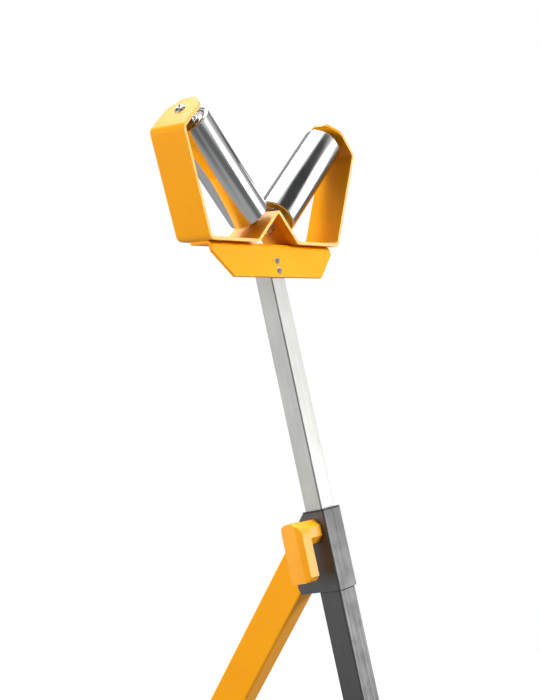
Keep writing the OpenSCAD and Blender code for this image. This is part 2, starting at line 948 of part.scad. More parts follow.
module rear_right_foot() {
    color("black")
        difference() {
            translate([bar_l / 2 + foot_wall - foot_l, head_y + rear_bar_y, rear_bar_z])
                foot_block(rear_lean, rear_bar_z);
            rear_bar_frame()
                bar_room();
        }
}

module rear_left_foot() {
    mirror([1, 0, 0])
        rear_right_foot();
}

main_leg();
front_crossbar();
front_left_foot();
front_right_foot();
collar_housing();
mast_bush();
clamp_nut();
pivot_bolt();
pivot_nut();
pivot_washers();
rear_leg();
rear_crossbar();
rear_left_foot();
rear_right_foot();
pivot_bush();
clamp_pad();
clamp_screw();
clamp_lever();
mast();
mast_glide();
saddle_plate();
saddle_bolts();
saddle_nuts();
cradle();
color("silver") left_axle_frame() axle_bolt();  // left_axle_bolt
color("silver") right_axle_frame() axle_bolt();  // right_axle_bolt
color("silver") left_axle_frame() axle_nut();  // left_axle_nut
color("silver") right_axle_frame() axle_nut();  // right_axle_nut
color("silver") left_axle_frame() axle_washer();  // left_axle_washer
color("silver") right_axle_frame() axle_washer();  // right_axle_washer
color("silver") left_axle_frame() axle_spacers();  // left_axle_spacers
color("silver") right_axle_frame() axle_spacers();  // right_axle_spacers
color("silver") left_axle_frame() roller_tube();  // left_roller_tube
color("silver") right_axle_frame() roller_tube();  // right_roller_tube
color("silver") left_axle_frame() roller_caps();  // left_roller_caps
color("silver") right_axle_frame() roller_caps();  // right_roller_caps
color("gray") left_axle_frame() roller_bearings();  // left_roller_bearings
color("gray") right_axle_frame() roller_bearings();  // right_roller_bearings
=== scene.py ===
"""Looks of the folding V-roller stand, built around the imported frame. Lengths are in metres."""

import json
from math import atan2, cos, pi, radians, sin, sqrt, tan

import bmesh
import bpy
from mathutils import Matrix, Vector


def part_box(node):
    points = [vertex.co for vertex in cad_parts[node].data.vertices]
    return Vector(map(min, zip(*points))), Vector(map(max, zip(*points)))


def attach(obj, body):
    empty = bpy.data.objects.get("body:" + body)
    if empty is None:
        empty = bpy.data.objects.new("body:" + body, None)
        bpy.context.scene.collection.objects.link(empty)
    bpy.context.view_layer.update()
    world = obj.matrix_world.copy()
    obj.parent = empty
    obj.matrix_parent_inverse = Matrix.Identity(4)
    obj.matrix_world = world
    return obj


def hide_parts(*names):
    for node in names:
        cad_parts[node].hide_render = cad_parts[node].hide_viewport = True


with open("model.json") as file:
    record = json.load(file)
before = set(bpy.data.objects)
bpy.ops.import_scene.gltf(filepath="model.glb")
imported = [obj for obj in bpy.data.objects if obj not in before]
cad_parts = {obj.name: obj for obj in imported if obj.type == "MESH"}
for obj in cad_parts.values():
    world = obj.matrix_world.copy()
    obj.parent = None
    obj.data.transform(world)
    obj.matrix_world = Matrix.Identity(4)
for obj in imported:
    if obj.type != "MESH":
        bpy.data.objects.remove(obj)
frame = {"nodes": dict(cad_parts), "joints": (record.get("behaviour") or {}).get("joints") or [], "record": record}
nodes = frame["nodes"]
joints = {joint["name"]: joint for joint in frame["joints"]}
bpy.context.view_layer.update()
MM = 0.001
SIDES = ("left", "right")
WHITE = (1, 1, 1, 1)

# Camera: place, then direction clockwise from +Y, tilt down and roll in degrees
PICTURE_W, PICTURE_H = 540, 700
CAMERA_AT = (-0.9453, -0.8242, 0.8141)
CAMERA_AZIMUTH, CAMERA_DOWN, CAMERA_ROLL = 49.85, 3.755, -1.4
FOCAL_PX = 1027.55
PRINCIPAL_PX = (271.21, 383.79)
SENSOR = 36

# Studio seen in reflections. The ground turns into the sky between two elevations. Each panel is painted
# over the ones before it: azimuths from -Y towards +X, elevations, soft edge in degrees, brightness.
GROUND_LEVEL, SKY_LEVEL = 0.45, 0.75
HORIZON = (-8.0, 4.0)
PANELS = (
    ("back wall", (100, 181), (-20, 45), 8, 0.36),
    ("back wall, other side", (-181, -130), (-20, 45), 8, 0.45),
    ("left wall", (-130, -95), (-25, 60), 12, 0.45),
    ("pale board at the left", (-152, -108), (-16, 6), 4, 1.35),
    ("dark wall, low at the left", (-162, -112), (-38, -15), 5, 0.15),
    ("dark wall, high at the left", (-164, -114), (12, 46), 6, 0.15),
    ("dark room behind the camera", (-88, -8), (-50, 45), 12, 0.14),
    ("dark floor in front", (-5, 36), (-30, -5), 6, 0.16),
    ("dark gap over the front", (-20, 31), (20, 71), 5, 0.06),
    ("dark side wall", (71, 126), (-14, 26), 5, 0.11),
    ("dim side of the key panel", (60, 80), (4, 25), 5, 0.55),
    ("key panel, upper part", (33, 62), (6, 16), 3, 1.7),
    ("key panel, top corner", (30, 51), (16, 32), 3, 2.2),
    ("key panel", (35, 62), (-5, 6), 3, 6.0),
    ("skylight", (140, 190), (51, 63), 3, 28.0),
)

# Panel in the ceiling: its reach along Y for a height of 1, its soft edge and brightness,
# and the elevations between which it comes in
CEILING_PANEL = (-0.26, 1.0)
CEILING_SOFT = 0.08
CEILING_LEVEL = 1.9
CEILING_RISE = (38.0, 50.0)
CEILING_LEAST_Z = 0.05

# Lights: place, aim, size in metres, power in watts and spread in degrees
LIGHTS = (
    ("lamp at the left", (-3.0, 0.65, 1.0), (0, 0, 0.9), 0.8, 62, 180),
    ("fill from the front", (1.0, -2.1, 1.8), (0, 0, 0.8), 0.6, 55, 180),
    ("narrow light on the head's front", (0.7, -2.5, 1.5), (0.02, -0.04, 0.88), 0.3, 0.1, 14),
    ("fill from above", (0.2, 0.8, 2.9), (0, 0, 0.8), 2.0, 25, 180),
)

# Floor: its size, the distances over which it fades, its whiteness and how clear it is from above
FLOOR_RADIUS = 12.0
FLOOR_SIDES = 96
FLOOR_FADE = (0.5, 1.5)
FLOOR_WHITE = 0.9
FLOOR_CLEAR = 0.7

# Finishes: most of a noise lies between two values, and its scales are in features per metre
NOISE_MIDDLE = (0.3, 0.7)
NOISE_ROUGHNESS = 0.5
COAT_CLOUDS, COAT_SCUFFS, COAT_PEEL, COAT_GRAIN, COAT_LINES = 14, 55, 700, 3200, 700
SCUFF_MIDDLE, LINES_MIDDLE = (0.35, 0.72), (0.35, 0.65)
SCUFF_ROUGHNESS = 0.08
LINES_UP, LINES_ACROSS = (1, 1, 0.006), (0.006, 1, 1)
# Faces whose normal lies this near to Y, such as the strap's cut edges, get a painted highlight
HIGHLIGHT_FACING = (0.75, 0.95)
CHROME_TINT = (0.70, 0.71, 0.72)
CHROME_SHADE = 0.97
CHROME_LINES, CHROME_HAZE = 12, 45
TURNED = (1, 1, 180)
HAZE_MIDDLE, HAZE_ROUGHNESS = (0.3, 0.75), (0.12, 0.17)
ZINC_STREAKS, ZINC_CLOUDS = 260, 28
STREAKED, CLOUDED = (1, 1, 0.012), (1, 1, 0.5)
STREAK_SHARE = 0.6
ZINC_DARK, ZINC_LIGHT = (0.48, 0.48, 0.46), (0.66, 0.66, 0.635)
ZINC_MIDDLE, ZINC_ROUGHNESS = (0.36, 0.64), (0.34, 0.46)
PLATED_CLOUDS, PLATED_GRAIN = 180, 2500
MOULDED_FLOW, MOULDED_GRAIN = 22, 1900
FLOWED = (1, 1, 0.4)
MOULDED_ROUGHNESS = 0.12
YELLOW = ((0.86, 0.335, 0.005), (0.90, 0.365, 0.007))
BLACK = ((0.036, 0.036, 0.038), (0.050, 0.050, 0.052))
# Pale cream painted on the strap's cut edges as a highlight
EDGE_HIGHLIGHT_YELLOW = (0.95, 0.50, 0.14)

# Plated steel and brass: dark and light colour, then least and greatest roughness
PLATED = {
    "cap_steel": ((0.24, 0.24, 0.23), (0.40, 0.40, 0.39), 0.12, 0.22),
    "zinc_fasteners": ((0.62, 0.62, 0.61), (0.74, 0.74, 0.73), 0.1, 0.18),
    "dull_zinc": ((0.80, 0.79, 0.76), (0.88, 0.87, 0.84), 0.2, 0.3),
    "bearing_steel": ((0.38, 0.38, 0.39), (0.5, 0.5, 0.51), 0.18, 0.3),
    "brass": ((0.58, 0.39, 0.14), (0.74, 0.53, 0.23), 0.2, 0.34),
}

# Plastic and rubber: dark and light colour, least roughness, level of reflection, depth of grain
MOULDED = {
    "black_plastic": ((0.022, 0.022, 0.024), (0.034, 0.034, 0.036), 0.42, 0.45, 0.05),
    "white_plastic": ((0.66, 0.65, 0.62), (0.76, 0.75, 0.72), 0.36, 0.5, 0.05),
    "yellow_plastic": ((0.90, 0.35, 0.010), (0.96, 0.40, 0.014), 0.2, 0.5, 0.03),
    "rubber": ((0.016, 0.016, 0.016), (0.028, 0.028, 0.027), 0.62, 0.35, 0.12),
}

# Nodes whose paint differs from their slot's: a painted highlight on the cut edges, or lines along X
FINISH = {"cradle": "strap_paint_painted_highlight", "front_crossbar": "black_paint_across"}

# Lean of the rear leg, and the crossbars' section
REAR_LEAN = radians(32)
BAR_HALF = 15 * MM
BAR_ROUND = 2 * MM

# Fineness of round shapes
ROUND = 72
TUBE_SIDES = 192
CAP_SIDES = 96
DOME_STEPS = 6
EDGE_STEPS = 3
BEND_STEPS = 4
TUBE_EDGE_STEPS = 6
SHARP_ANGLE = 32

# Rounded edges of the CAD nodes that stay, in millimetres, and how they are found and made
EDGES = {
    "cradle": 0.6, "saddle_plate": 0.6, "collar_housing": 0.6, "rear_leg": 0.5, "clamp_lever": 1.6,
    "main_leg": 0.3, "front_crossbar": 0.3, "rear_crossbar": 0.3, "mast": 0.25, "mast_bush": 0.4,
    "mast_glide": 0.4,
}
EDGE_ANGLE = 30
MERGE_DISTANCE = 0.002 * MM
FLAT_ANGLE = 0.3
FLAT_WEIGHT = 100

# Rollers: edges of the tube, then the pressed caps and the bearings
TUBE_EDGE = 1.2 * MM
BORE_EDGE = 0.4 * MM
CAP_RIM = 2.8 * MM
CAP_LIP = 2.2 * MM
CAP_DISH = 1.3 * MM
CAP_SLOPE = 0.9 * MM
CAP_SHEET = 1.5 * MM
CAP_BEND = 1.2 * MM
CAP_EDGE = 0.3 * MM
BEARING_RACE = 1.8 * MM
BEARING_DISH = 0.6 * MM
BEARING_EDGE = 0.3 * MM
BEARING_GAP = 0.15 * MM

# Edges of washers, spacers and the clamp's turned pieces
NUT_WASHER_EDGE = 0.25 * MM
SPACER_EDGE = 0.5 * MM
PIVOT_EDGE = 0.3 * MM
BOSS_EDGE = 0.5 * MM
DISC_EDGE = 0.3 * MM

# Screws and nuts
AXLE_PITCH = 1.25 * MM
SADDLE_PITCH = 0.8 * MM
CLAMP_PITCH = 1.5 * MM
CLAMP_PLAIN_SHARE = 0.3
DISC_GAP = 0.05 * MM
THREAD_DEPTH_SHARE = 0.61
THREAD_SLOPE = 1.5
THREAD_CREST = 0.25
THREAD_STEPS = 8
HEAD_REACH_SHARE = 0.9
HEAD_SIDE_SHARE = 0.12
SOCKET_SHARE = 0.6
SOCKET_DEPTH_SHARE = 0.6
SOCKET_RIM = 0.25 * MM
CHAMFER_SHARE = 0.95
CHAMFER_STEPS = (0, 0.3, 0.6, 0.8, 1)
NUT_CHAMFER = 0.4 * MM
NUT_FLATS_SHARE = 1.6
COLLAR_SHARE = 0.3
COLLAR_REACH_SHARE = 0.9
COLLAR_ROUND = 1 * MM

# Rubber boots. The lip and the sole are rounded by rings, each at a distance along the bar and a
# depth below the side, in millimetres. A groove's rings are given as shares of its half width and depth.
FOOT_ROUND = 4 * MM
FOOT_CORNER_STEPS = 5
FOOT_SLACK = 0.05 * MM
FOOT_SAME = 0.1 * MM
FOOT_GROOVES = 4
GROOVES_FROM, GROOVES_SPAN = 0.2, 0.6
GROOVE_WIDTH = 3 * MM
GROOVE_DEPTH = 1.1 * MM
GROOVE_RINGS = ((-1, 0), (-0.6, 0.85), (-0.4, 1), (0.4, 1), (0.6, 0.85), (1, 0))
LIP_RINGS = ((0, 1.2), (0.4, 0.35), (1.2, 0))
SOLE_RINGS = ((1.6, 0), (0.9, 0.3), (0.3, 0.9), (0, 1.8), (0, 5.0), (0.8, 5.6))

# Welds
BEAD = 2 * MM
FLUSH_BEAD = 0.7 * BEAD
BEAD_INSET = 1.5 * MM
COLLAR_WELD = 1.6 * MM
BEAD_STEPS = 3
BEAD_SIDES = 12
BEAD_RIPPLE_SHARE = 1.1
BEAD_WAIST = 0.84
UPRIGHT = 0.7
STITCH = 24 * MM
STITCH_DROP = 0.4 * MM
SADDLE_STITCHES = (-0.62, 0, 0.62)


def reference(azimuth, down, roll):
    """Axes of a camera: right, up and forward."""
    a, d, r = radians(azimuth), radians(down), radians(roll)
    forward = Vector((sin(a) * cos(d), cos(a) * cos(d), -sin(d)))
    level = Vector((cos(a), -sin(a), 0))
    upright = level.cross(forward)
    right = cos(r) * level + sin(r) * upright
    up = -sin(r) * level + cos(r) * upright
    return right, up, forward


def camera():
    right, up, forward = reference(CAMERA_AZIMUTH, CAMERA_DOWN, CAMERA_ROLL)
    data = bpy.data.cameras.new("camera")
    data.sensor_fit = "VERTICAL"
    data.sensor_width = data.sensor_height = SENSOR
    data.lens = FOCAL_PX / PICTURE_H * SENSOR
    data.shift_x = (PICTURE_W / 2 - PRINCIPAL_PX[0]) / PICTURE_H
    data.shift_y = (PRINCIPAL_PX[1] - PICTURE_H / 2) / PICTURE_H
    eye = bpy.data.objects.new("camera", data)
    turn = Matrix((right, up, -forward)).transposed().to_4x4()
    eye.matrix_world = Matrix.Translation(CAMERA_AT) @ turn
    bpy.context.scene.collection.objects.link(eye)
    bpy.context.scene.camera = eye


class Tree:
    """A node tree, with short ways to add nodes and join them."""

    def __init__(self, tree):
        self.tree = tree
        tree.nodes.clear()

    def add(self, kind, inputs=None, **settings):
        node = self.tree.nodes.new(kind)
        for key, value in settings.items():
            setattr(node, key, value)
        for key, value in (inputs or {}).items():
            if isinstance(value, bpy.types.NodeSocket):
                self.tree.links.new(value, node.inputs[key])
            else:
                node.inputs[key].default_value = value
        return node

    def math(self, operation, a, b=0.0):
        return self.add("ShaderNodeMath", {0: a, 1: b}, operation=operation).outputs[0]

    def ease(self, value, low, high, out_low=0.0, out_high=1.0):
        """Value taken from low..high to out_low..out_high, with soft ends."""
        node = self.add("ShaderNodeMapRange", interpolation_type="SMOOTHSTEP")
        for key, item in (("Value", value), ("From Min", low), ("From Max", high),
                          ("To Min", out_low), ("To Max", out_high)):
            if isinstance(item, bpy.types.NodeSocket):
                self.tree.links.new(item, node.inputs[key])
            else:
                node.inputs[key].default_value = item
        return node.outputs["Result"]

    def window(self, value, low, high, soft):
        """1 between low and high, falling to 0 over a soft edge outside."""
        rise = self.ease(value, low - soft, low + soft)
        fall = self.ease(value, high - soft, high + soft, 1.0, 0.0)
        return self.math("MULTIPLY", rise, fall)

    def blend(self, factor, a, b):
        node = self.add("ShaderNodeMix", {0: factor, 2: a, 3: b}, data_type="FLOAT")
        return node.outputs[0]


def studio_world():
    """White backdrop for the camera, and a studio of soft panels for light and reflections."""
    world = bpy.data.worlds.new("studio")
    world.use_nodes = True
    bpy.context.scene.world = world
    t = Tree(world.node_tree)
    place = t.add("ShaderNodeTexCoord").outputs["Generated"]
    xyz = t.add("ShaderNodeSeparateXYZ", {0: place}).outputs
    back = t.math("MULTIPLY", xyz[1], -1.0)
    azimuth = t.math("DEGREES", t.math("ARCTAN2", xyz[0], back))
    elevation = t.math("DEGREES", t.math("ARCSINE", xyz[2]))
    level = t.ease(elevation, *HORIZON, GROUND_LEVEL, SKY_LEVEL)
    steep = t.math("MAXIMUM", xyz[2], CEILING_LEAST_Z)
    overhead = t.window(t.math("DIVIDE", xyz[1], steep), *CEILING_PANEL, CEILING_SOFT)
    high = t.ease(elevation, *CEILING_RISE)
    level = t.blend(t.math("MULTIPLY", overhead, high), level, CEILING_LEVEL)
    for _, across, upward, soft, brightness in PANELS:
        mask = t.math("MULTIPLY", t.window(azimuth, *across, soft), t.window(elevation, *upward, soft))
        level = t.blend(mask, level, brightness)
    studio = t.add("ShaderNodeBackground", {"Color": WHITE, "Strength": level}).outputs[0]
    white = t.add("ShaderNodeBackground", {"Color": WHITE, "Strength": 1.0}).outputs[0]
    seen = t.add("ShaderNodeLightPath").outputs["Is Camera Ray"]
    mix = t.add("ShaderNodeMixShader", {0: seen, 1: studio, 2: white})
    t.add("ShaderNodeOutputWorld", {"Surface": mix.outputs[0]})


def soft_light(name, at, aim, size, power, spread):
    """Area light that brightens surfaces but isn't seen in reflections."""
    data = bpy.data.lights.new(name, "AREA")
    data.size = size
    data.energy = power
    data.spread = radians(spread)
    light = bpy.data.objects.new(name, data)
    light.location = at
    light.rotation_mode = "QUATERNION"
    light.rotation_quaternion = (Vector(aim) - Vector(at)).to_track_quat("-Z", "Y")
    light.visible_glossy = False
    bpy.context.scene.collection.objects.link(light)


def floor_disc():
    """Pale floor that fades into the white backdrop. It is partly clear, so that a crossbar folded
    below its level still shows, and all clear from underneath."""
    mesh = bpy.data.meshes.new("floor")
    angles = [2 * pi * k / FLOOR_SIDES for k in range(FLOOR_SIDES)]
    rim = [(FLOOR_RADIUS * cos(a), FLOOR_RADIUS * sin(a), 0) for a in angles]
    mesh.from_pydata(rim, [], [tuple(range(FLOOR_SIDES))])
    disc = bpy.data.objects.new("floor", mesh)
    bpy.context.scene.collection.objects.link(disc)
    material = bpy.data.materials.new("floor")
    material.use_nodes = True
    t = Tree(material.node_tree)
    place = t.add("ShaderNodeTexCoord").outputs["Object"]
    far = t.add("ShaderNodeVectorMath", {0: place}, operation="LENGTH").outputs["Value"]
    fade = t.ease(far, *FLOOR_FADE)
    matt = t.add("ShaderNodeBsdfDiffuse", {"Color": (FLOOR_WHITE, FLOOR_WHITE, FLOOR_WHITE, 1)})
    glow = t.add("ShaderNodeEmission", {"Color": WHITE, "Strength": 1.0})
    pale = t.add("ShaderNodeMixShader", {0: fade, 1: matt.outputs[0], 2: glow.outputs[0]})
    below = t.add("ShaderNodeNewGeometry").outputs["Backfacing"]
    clear = t.ease(below, 0.0, 1.0, FLOOR_CLEAR, 1.0)
    through = t.add("ShaderNodeBsdfTransparent")
    mix = t.add("ShaderNodeMixShader", {0: clear, 1: pale.outputs[0], 2: through.outputs[0]})
    t.add("ShaderNodeOutputMaterial", {"Surface": mix.outputs[0]})
    mesh.materials.append(material)
    disc.visible_glossy = False
    disc.visible_diffuse = False
    disc.visible_shadow = False


# Directions that the lines of the finishes follow
MAST_LEAN = atan2(joints["mast_slide"]["axis"][1], joints["mast_slide"]["axis"][2])
AXLE_TILT = atan2(joints["right_roller_spin"]["axis"][0], joints["right_roller_spin"]["axis"][2])


def noise(t, scale, detail, stretch=(1, 1, 1), turn=(0, 0, 0)):
    """Noise fixed to the object, from 0 to 1; scale is in features per metre."""
    place = t.add("ShaderNodeTexCoord").outputs["Object"]
    turned = t.add("ShaderNodeMapping", {"Vector": place, "Rotation": turn}, vector_type="TEXTURE")
    mapped = t.add("ShaderNodeVectorMath", {0: turned.outputs[0], 1: stretch}, operation="MULTIPLY")
    texture = t.add("ShaderNodeTexNoise", {
        "Vector": mapped.outputs[0], "Scale": scale, "Detail": detail, "Roughness": NOISE_ROUGHNESS})
    return texture.outputs["Fac"]


def tinted(t, factor, dark, light, low=NOISE_MIDDLE[0], high=NOISE_MIDDLE[1]):
    """Colour from dark to light as the factor goes from low to high."""
    ramp = t.add("ShaderNodeValToRGB", {0: factor})
    ends = ramp.color_ramp.elements
    ends[0].position, ends[0].color = low, (*dark, 1)
    ends[1].position, ends[1].color = high, (*light, 1)
    return ramp.outputs[0]


def bump(t, height, strength, distance, normal=None):
    node = t.add("ShaderNodeBump", {"Height": height, "Strength": strength, "Distance": distance})
    if normal is not None:
        t.tree.links.new(normal, node.inputs["Normal"])
    return node.outputs[0]


def surface(name, **constants):
    """New material with a Principled shader: its name, tree and shader."""
    material = bpy.data.materials.new(name)
    material.use_nodes = True
    t = Tree(material.node_tree)
    shader = t.add("ShaderNodeBsdfPrincipled")
    for key, value in constants.items():
        shader.inputs[key.replace("_", " ")].default_value = value
    t.add("ShaderNodeOutputMaterial", {"Surface": shader.outputs[0]})
    return material, t, shader


def join(t, shader, **sockets):
    for key, socket in sockets.items():
        t.tree.links.new(socket, shader.inputs[key.replace("_", " ")])


def powder_coat(name, dark, light, gloss, level, drawn=0.0, along=LINES_UP, lean=0.0, cut=None):
    """Baked powder coat: orange peel, faint clouding and scuffs, and lines of the drawn tube below.
    A cut colour is a painted highlight, blended onto faces that face along Y, such as a strap's two cut edges."""
    material, t, shader = surface(name, Specular_IOR_Level=level)
    cloud = noise(t, COAT_CLOUDS, 3)
    scuffs = noise(t, COAT_SCUFFS, 4)
    peel = noise(t, COAT_PEEL, 1)
    grain = noise(t, COAT_GRAIN, 2)
    lines = noise(t, COAT_LINES, 2, along, (-lean, 0, 0))
    rough = t.ease(scuffs, *SCUFF_MIDDLE, gloss, gloss + SCUFF_ROUGHNESS)
    rough = t.math("ADD", rough, t.ease(lines, *LINES_MIDDLE, -drawn, drawn))
    fine = bump(t, grain, strength=0.01, distance=0.03 * MM)
    lined = bump(t, lines, strength=drawn, distance=0.08 * MM, normal=fine)
    colour = tinted(t, cloud, dark, light)
    # Painted highlight: faces that face along Y are blended towards the pale cut colour
    if cut:
        normal = t.add("ShaderNodeTexCoord").outputs["Normal"]
        facing = t.add("ShaderNodeSeparateXYZ", {0: normal}).outputs[1]
        edge = t.ease(t.math("ABSOLUTE", facing), *HIGHLIGHT_FACING)
        mix = t.add("ShaderNodeMix", {0: edge, 6: colour, 7: (*cut, 1)}, data_type="RGBA")
        colour = mix.outputs[2]
    join(t, shader,
         Base_Color=colour,
         Roughness=rough,
         Normal=bump(t, peel, strength=0.015, distance=0.06 * MM, normal=lined))
    return material


def chrome(name, tilt):
    """Polished chrome: faint turning lines around the axis and a trace of haze."""
    material, t, shader = surface(name, Metallic=1.0)
    lines = noise(t, CHROME_LINES, 3, TURNED, (0, tilt, 0))
    haze = noise(t, CHROME_HAZE, 3)
    join(t, shader,
         Base_Color=tinted(t, haze, tuple(CHROME_SHADE * c for c in CHROME_TINT), CHROME_TINT),
         Roughness=t.ease(haze, *HAZE_MIDDLE, *HAZE_ROUGHNESS),
         Normal=bump(t, lines, strength=0.04, distance=0.02 * MM))
    return material


def zinc_tube(name, lean):
    """Drawn and zinc-plated tube: long pale streaks down its length."""
    material, t, shader = surface(name, Metallic=0.85)
    streaks = noise(t, ZINC_STREAKS, 4, STREAKED, (lean, 0, 0))
    cloud = noise(t, ZINC_CLOUDS, 4, CLOUDED, (lean, 0, 0))
    spangle = t.blend(STREAK_SHARE, cloud, streaks)
    join(t, shader,
         Base_Color=tinted(t, spangle, ZINC_DARK, ZINC_LIGHT, *ZINC_MIDDLE),
         Roughness=t.ease(streaks, *NOISE_MIDDLE, *ZINC_ROUGHNESS),
         Normal=bump(t, streaks, strength=0.08, distance=0.05 * MM))
    return material


def plated(name, dark, light, low, high):
    """Plated or ground steel of small parts."""
    material, t, shader = surface(name, Metallic=1.0)
    cloud = noise(t, PLATED_CLOUDS, 3)
    grain = noise(t, PLATED_GRAIN, 2)
    join(t, shader,
         Base_Color=tinted(t, cloud, dark, light),
         Roughness=t.ease(grain, *NOISE_MIDDLE, low, high),
         Normal=bump(t, grain, strength=0.06, distance=0.03 * MM))
    return material


def moulded(name, dark, light, gloss, level, texture):
    """Moulded plastic or rubber: fine spark-eroded grain and flow marks."""
    material, t, shader = surface(name, Specular_IOR_Level=level)
    flow = noise(t, MOULDED_FLOW, 3, FLOWED)
    grain = noise(t, MOULDED_GRAIN, 2)
    join(t, shader,
         Base_Color=tinted(t, flow, dark, light),
         Roughness=t.ease(grain, *NOISE_MIDDLE, gloss, gloss + MOULDED_ROUGHNESS),
         Normal=bump(t, grain, strength=texture, distance=0.06 * MM))
    return material


MATERIALS = {
    "yellow_paint": powder_coat("yellow_paint", *YELLOW, gloss=0.3, level=0.15),
    # Yellow paint with a painted highlight on the strap's cut edges
    "strap_paint_painted_highlight": powder_coat("strap_paint_painted_highlight", *YELLOW, gloss=0.3, level=0.25, cut=EDGE_HIGHLIGHT_YELLOW),
    "black_paint": powder_coat("black_paint", *BLACK, gloss=0.32, level=0.92, drawn=0.06, lean=MAST_LEAN),
    "black_paint_across": powder_coat("black_paint_across", *BLACK, gloss=0.32, level=0.92, drawn=0.06,
                                      along=LINES_ACROSS),
    "chrome_tube": chrome("chrome_tube", 0),
    "chrome_tube_left": chrome("chrome_tube_left", -AXLE_TILT),
    "chrome_tube_right": chrome("chrome_tube_right", AXLE_TILT),
    "zinc_tube": zinc_tube("zinc_tube", -MAST_LEAN),
}
MATERIALS.update({name: plated(name, *look) for name, look in PLATED.items()})
MATERIALS.update({name: moulded(name, *look) for name, look in MOULDED.items()})


# Places: axes to build in, read from the joints and the CAD nodes


def place_at(origin, z_axis, y_axis=(0, 1, 0)):
    """Axes at a point: Z along z_axis, Y as near to y_axis as it can be."""
    z = Vector(z_axis).normalized()
    x = Vector(y_axis).cross(z).normalized()
    turn = Matrix((x, z.cross(x), z)).transposed()
    return Matrix.Translation(origin) @ turn.to_4x4()


def centre(node):
    low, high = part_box(node)
    return (Vector(low) + Vector(high)) / 2


def mast_place():
    """On the mast's axis at the cradle's underside, Z up along the mast."""
    origin = (0, centre("cradle").y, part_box("cradle")[0][2])
    return place_at(origin, joints["mast_slide"]["axis"])


def axle_place(side):
    """Where the axles' lines cross, Z out along one of them."""
    joint = joints[side + "_roller_spin"]
    return place_at(joint["pos_m"], joint["axis"])


def cross_place(joint):
    """At a joint across the mast, Z to the right and Y towards the mast's back."""
    return place_at(joints[joint]["pos_m"], (1, 0, 0), (0, cos(MAST_LEAN), -sin(MAST_LEAN)))


def rear_place():
    """At the rear leg's pivot, Z up along the leg."""
    return place_at(joints["leg_fold"]["pos_m"], (0, -sin(REAR_LEAN), cos(REAR_LEAN)))


def corners(node, place):
    """Corners of a CAD node in the axes of a place."""
    inward = place.inverted()
    return [inward @ vertex.co for vertex in nodes[node].data.vertices]


def apart(points, count=2):
    """Points split into groups at the widest gaps along Z."""
    points = sorted(points, key=lambda p: p.z)
    steps = range(1, len(points))
    cuts = sorted(steps, key=lambda k: points[k - 1].z - points[k].z)[:count - 1]
    ends = [0] + sorted(cuts) + [len(points)]
    return [points[a:b] for a, b in zip(ends, ends[1:])]


def away(point):
    """Distance from the Z axis."""
    return sqrt(point.x ** 2 + point.y ** 2)


def measure(points):
    """Least and greatest distance from the Z axis, and lowest and highest Z."""
    reaches = [away(p) for p in points]
    heights = [p.z for p in points]
    return min(reaches), max(reaches), min(heights), max(heights)


# Outlines and rings


def arc_corner(before, at, after, radius, steps):
    """Arc that rounds one corner of a line."""
    back, onward = (before - at).normalized(), (after - at).normalized()
    half = back.angle(onward) / 2
    middle = at + (back + onward).normalized() * radius / sin(half)
    reach = radius / tan(half)
    start, end = at + back * reach - middle, at + onward * reach - middle
    turn = start.angle(end)
    parts = [turn * k / steps for k in range(steps + 1)]
    return [middle + (start * sin(turn - part) + end * sin(part)) / sin(turn) for part in parts]


def rounded(points, radii, steps):
    """Closed outline with its corners turned into arcs."""
    points = [Vector(p) for p in points]
    if not isinstance(radii, (list, tuple)):
        radii = [radii] * len(points)
    line = []
    for k, radius in enumerate(radii):
        line += arc_corner(points[k - 1], points[k], points[(k + 1) % len(points)], radius, steps)
    return line


def inset(points, depth):
    """Corners of a convex outline, given anticlockwise, with each side moved inwards."""
    moved = []
    for k, at in enumerate(points):
        back = (at - points[k - 1]).normalized()
        onward = (points[(k + 1) % len(points)] - at).normalized()
        inward = Vector((-back.y, back.x)) + Vector((-onward.y, onward.x))
        moved.append(at + inward.normalized() * depth / sqrt((1 + back.dot(onward)) / 2))
    return moved


def circle(radius):
    return lambda angle: radius


def hexagon(flats, limit=1.0):
    """Reach of a hexagon at an angle, trimmed by a circle of the limit's radius."""
    return lambda angle: min(limit, flats / 2 / cos((angle + pi / 6) % (pi / 3) - pi / 6))


def ring(reach, z, count=ROUND):
    """Points about the Z axis; reach gives their distance from it at an angle."""
    angles = [2 * pi * k / count for k in range(count)]
    return [Vector((reach(a) * cos(a), reach(a) * sin(a), z)) for a in angles]


def skin(rings, closed=False):
    """Points and faces of a surface through rings; a ring of one point closes an end."""
    points, starts = [], []
    for loop in rings:
        starts.append(len(points))
        points += loop
    faces = []
    for a in range(len(rings) if closed else len(rings) - 1):
        b = (a + 1) % len(rings)
        first, second = len(rings[a]), len(rings[b])
        for k in range(max(first, second)):
            corner = [starts[a] + k % first, starts[a] + (k + 1) % first,
                      starts[b] + (k + 1) % second, starts[b] + k % second]
            faces.append(tuple(dict.fromkeys(corner)))
    return points, faces


def lathe(profile, count=ROUND, closed=True):
    """Surface turned about the Z axis from points of radius and height."""
    rings = [ring(circle(r), z, count) if r > 0 else [Vector((0, 0, z))] for r, z in profile]
    return skin(rings, closed)


def valley(turns):
    """Depth of a thread at a number of turns: 0 on the crest, 1 in the groove."""
    wave = abs(2 * (turns % 1) - 1)
    return min(1, max(0, THREAD_SLOPE * wave - THREAD_CREST))


def thread(radius, pitch, start, end):
    """Rings of a screw thread, which runs out at both ends."""
    depth = THREAD_DEPTH_SHARE * pitch
    steps = max(2, round((end - start) / pitch * THREAD_STEPS))
    rings = []
    for k in range(steps + 1):
        z = start + (end - start) * k / steps
        cut = depth * min(1, (z - start) / pitch, (end - z) / pitch)
        rings.append(ring(lambda a: radius - cut * valley(z / pitch - a / (2 * pi)), z))
    return rings


